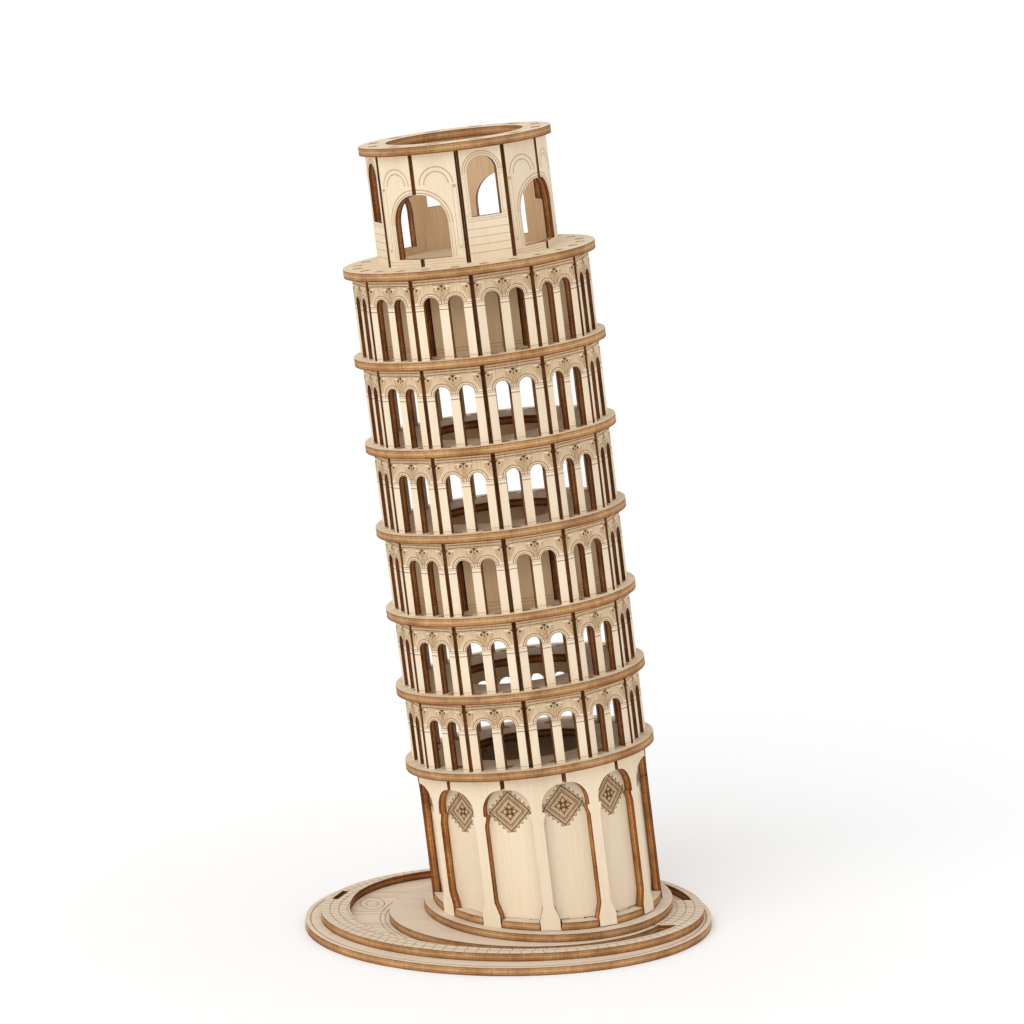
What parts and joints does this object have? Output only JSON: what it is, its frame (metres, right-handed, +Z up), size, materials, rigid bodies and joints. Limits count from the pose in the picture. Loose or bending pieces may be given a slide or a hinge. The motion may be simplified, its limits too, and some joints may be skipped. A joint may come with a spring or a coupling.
{
  "type": "miniature landmark model",
  "caption": "Plywood press-fit model of a leaning round tower: arcaded storeys between ring floors, an open belfry and an oval layered base with paving.",
  "frame": {"origin": "centre of the oval base plate's underside", "axes": "+Z up, the base's long axis along X, the viewed front facing -Y; the tower leans towards -X and a little +Y"},
  "size_m": [0.15, 0.1285, 0.2951],
  "materials": {
    "base_plywood": "bare birch plywood with engraved paving",
    "ring_plywood": "bare birch plywood with darkened cut edges",
    "panel_plywood": "bare birch plywood with engraved ornament"
  },
  "bodies": {
    "root": {"base_plate": "base_plywood", "belfry_floor": "ring_plywood", "belfry_portals_left": "panel_plywood", "belfry_portals_right": "panel_plywood", "belfry_windows": "panel_plywood", "crown_ring": "ring_plywood", "foot_ring": "base_plywood", "ground_wall_01": "panel_plywood", "ground_wall_02": "panel_plywood", "ground_wall_03": "panel_plywood", "ground_wall_04": "panel_plywood", "ground_wall_05": "panel_plywood", "ground_wall_06": "panel_plywood", "ground_wall_07": "panel_plywood", "ground_wall_08": "panel_plywood", "ground_wall_09": "panel_plywood", "ground_wall_10": "panel_plywood", "ground_wall_11": "panel_plywood", "ground_wall_12": "panel_plywood", "lawn_plate": "base_plywood", "paving_plate": "base_plywood", "pilaster_01": "panel_plywood", "pilaster_02": "panel_plywood", "pilaster_03": "panel_plywood", "pilaster_04": "panel_plywood", "pilaster_05": "panel_plywood", "pilaster_06": "panel_plywood", "pilaster_07": "panel_plywood", "pilaster_08": "panel_plywood", "pilaster_09": "panel_plywood", "pilaster_10": "panel_plywood", "pilaster_11": "panel_plywood", "pilaster_12": "panel_plywood", "plinth_disc": "base_plywood", "ring_1": "ring_plywood", "ring_2": "ring_plywood", "ring_3": "ring_plywood", "ring_4": "ring_plywood", "ring_5": "ring_plywood", "ring_6": "ring_plywood", "storey_2_panels": "panel_plywood", "storey_3_panels": "panel_plywood", "storey_4_drum": "panel_plywood", "storey_4_panels": "panel_plywood", "storey_5_panels": "panel_plywood", "storey_6_panels": "panel_plywood", "storey_7_drum": "panel_plywood", "storey_7_panels": "panel_plywood"}
  },
  "joints": []
}
